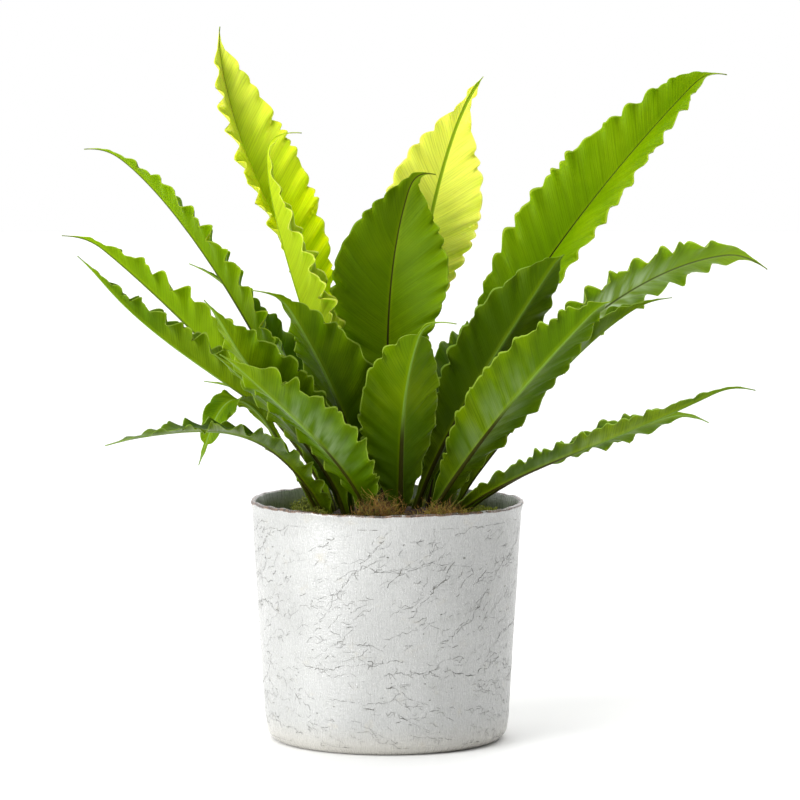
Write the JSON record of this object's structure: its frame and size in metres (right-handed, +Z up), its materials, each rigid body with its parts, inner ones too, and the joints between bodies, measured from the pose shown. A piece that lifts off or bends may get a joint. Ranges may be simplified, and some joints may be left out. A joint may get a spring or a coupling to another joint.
{
  "type": "potted fern",
  "caption": "Potted bird's nest fern: a rosette of broad, wavy-edged fronds rising from a crown in a round ceramic pot filled with soil and moss.",
  "frame": {"origin": "middle of the flat underside of the pot", "axes": "+Z up from the pot's underside, -Y towards the side that the picture shows, +X to the right in the picture"},
  "size_m": [0.4205, 0.3348, 0.4211],
  "materials": {
    "pot_ceramic": "satin",
    "soil": "matte",
    "crown_fibre": "matte",
    "frond_lime": "satin",
    "frond_pale": "satin",
    "frond_fresh": "satin",
    "frond_green": "satin",
    "frond_deep": "satin",
    "moss": "matte"
  },
  "bodies": {
    "root": {"pot": "pot_ceramic", "potting_soil": "soil", "crown": "crown_fibre", "frond_back_left_tall": "frond_lime", "frond_back_left_lime": "frond_lime", "frond_back_pale": "frond_pale", "frond_centre": "frond_green", "frond_front_centre": "frond_green", "frond_middle_left": "frond_deep", "frond_left_high": "frond_fresh", "frond_left_middle": "frond_green", "frond_left_low": "frond_green", "frond_left_inner": "frond_green", "frond_front_left": "frond_fresh", "frond_front_left_under": "frond_green", "frond_left_lowest": "frond_green", "frond_left_drooping": "frond_deep", "frond_left_rear": "frond_green", "frond_right_tall": "frond_fresh", "frond_right_middle": "frond_green", "frond_right_edge": "frond_deep", "frond_right_inner": "frond_green", "frond_front_right": "frond_green", "frond_right_low": "frond_green", "frond_right_lowest": "frond_deep", "frond_rear_long": "frond_green", "frond_rear_right": "frond_green", "frond_rear_left": "frond_green", "frond_rear_upright": "frond_fresh", "frond_rear_right_low": "frond_deep", "frond_rear_left_low": "frond_deep", "moss_front": "moss", "moss_front_left": "moss", "moss_front_right": "moss", "moss_right": "moss", "moss_back_right": "moss", "moss_back_left": "moss"}
  },
  "joints": []
}
